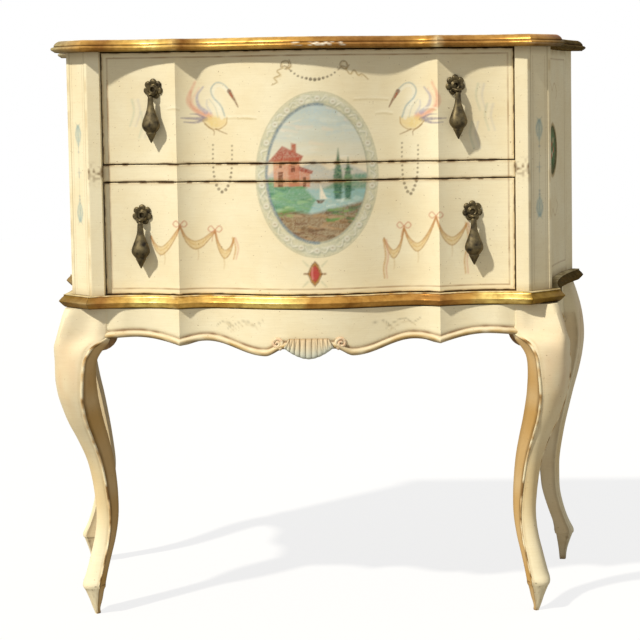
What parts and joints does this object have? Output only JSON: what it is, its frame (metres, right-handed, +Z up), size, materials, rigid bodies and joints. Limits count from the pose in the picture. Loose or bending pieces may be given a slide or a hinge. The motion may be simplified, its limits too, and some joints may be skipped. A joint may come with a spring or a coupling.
{
  "type": "lowboy",
  "caption": "Painted lowboy with a serpentine front, drawers with drop pulls, canted corners, gilt mouldings and a scalloped apron on cabriole legs.",
  "frame": {"origin": "on the floor, under the middle of the bounding box", "axes": "+Z up, the front with the drawers faces -Y, +X to the right of someone who faces the front"},
  "size_m": [0.8322, 0.392, 0.82],
  "materials": {
    "cream_paint": "aged cream oil paint, satin, rubbed at the edges",
    "worn_gilding": "worn water gilding over red-brown bole on wood",
    "raw_wood": "unfinished softwood, darkened with age",
    "aged_brass": "dark patinated cast brass"
  },
  "bodies": {
    "case": {"top_board": "worn_gilding", "base_board": "cream_paint", "waist_moulding_left": "worn_gilding", "waist_moulding_front": "worn_gilding", "waist_moulding_right": "worn_gilding", "back_panel": "raw_wood", "drawer_divider": "cream_paint", "front_apron": "cream_paint", "back_apron": "raw_wood", "apron_shell": "cream_paint", "lower_drawer_stop": "raw_wood", "upper_drawer_stop": "raw_wood", "front_post_left": "cream_paint", "side_panel_left": "cream_paint", "back_stile_left": "cream_paint", "upper_runner_left": "raw_wood", "lower_runner_left": "raw_wood", "top_cleat_left": "raw_wood", "front_leg_left": "cream_paint", "back_leg_left": "cream_paint", "side_apron_left": "cream_paint", "front_block_left": "raw_wood", "back_block_left": "raw_wood", "front_post_right": "cream_paint", "side_panel_right": "cream_paint", "back_stile_right": "cream_paint", "upper_runner_right": "raw_wood", "lower_runner_right": "raw_wood", "top_cleat_right": "raw_wood", "front_leg_right": "cream_paint", "back_leg_right": "cream_paint", "side_apron_right": "cream_paint", "front_block_right": "raw_wood", "back_block_right": "raw_wood"},
    "upper_drawer": {"upper_drawer_front": "cream_paint", "upper_drawer_side_left": "raw_wood", "upper_drawer_side_right": "raw_wood", "upper_drawer_back": "raw_wood", "upper_drawer_bottom": "raw_wood", "upper_left_pull_rosette": "aged_brass", "upper_left_pull_bolt": "aged_brass", "upper_left_pull_nut": "aged_brass", "upper_right_pull_rosette": "aged_brass", "upper_right_pull_bolt": "aged_brass", "upper_right_pull_nut": "aged_brass"},
    "lower_drawer": {"lower_drawer_front": "cream_paint", "lower_drawer_side_left": "raw_wood", "lower_drawer_side_right": "raw_wood", "lower_drawer_back": "raw_wood", "lower_drawer_bottom": "raw_wood", "lower_left_pull_rosette": "aged_brass", "lower_left_pull_bolt": "aged_brass", "lower_left_pull_nut": "aged_brass", "lower_right_pull_rosette": "aged_brass", "lower_right_pull_bolt": "aged_brass", "lower_right_pull_nut": "aged_brass"},
    "upper_left_drop": {"upper_left_pull_drop": "aged_brass"},
    "upper_right_drop": {"upper_right_pull_drop": "aged_brass"},
    "lower_left_drop": {"lower_left_pull_drop": "aged_brass"},
    "lower_right_drop": {"lower_right_pull_drop": "aged_brass"}
  },
  "joints": [
    {"name": "upper_drawer_slide", "type": "slide", "parent": "case", "child": "upper_drawer", "axis": [0, -1, 0], "range_m": [0, 0.22]},
    {"name": "lower_drawer_slide", "type": "slide", "parent": "case", "child": "lower_drawer", "axis": [0, -1, 0], "range_m": [0, 0.22]},
    {"name": "upper_left_drop_hinge", "type": "hinge", "parent": "upper_drawer", "child": "upper_left_drop", "pos_m": [-0.21775, -0.15183, 0.745], "axis": [-0.9649, 0.2625, 0], "range_deg": [0, 85]},
    {"name": "upper_right_drop_hinge", "type": "hinge", "parent": "upper_drawer", "child": "upper_right_drop", "pos_m": [0.21066, -0.15407, 0.745], "axis": [-0.9367, -0.3503, 0], "range_deg": [0, 85]},
    {"name": "lower_left_drop_hinge", "type": "hinge", "parent": "lower_drawer", "child": "lower_left_drop", "pos_m": [-0.23694, -0.14761, 0.569], "axis": [-0.9859, 0.1676, 0], "range_deg": [0, 85]},
    {"name": "lower_right_drop_hinge", "type": "hinge", "parent": "lower_drawer", "child": "lower_right_drop", "pos_m": [0.23094, -0.14863, 0.569], "axis": [-0.9859, -0.1676, 0], "range_deg": [0, 85]}
  ]
}
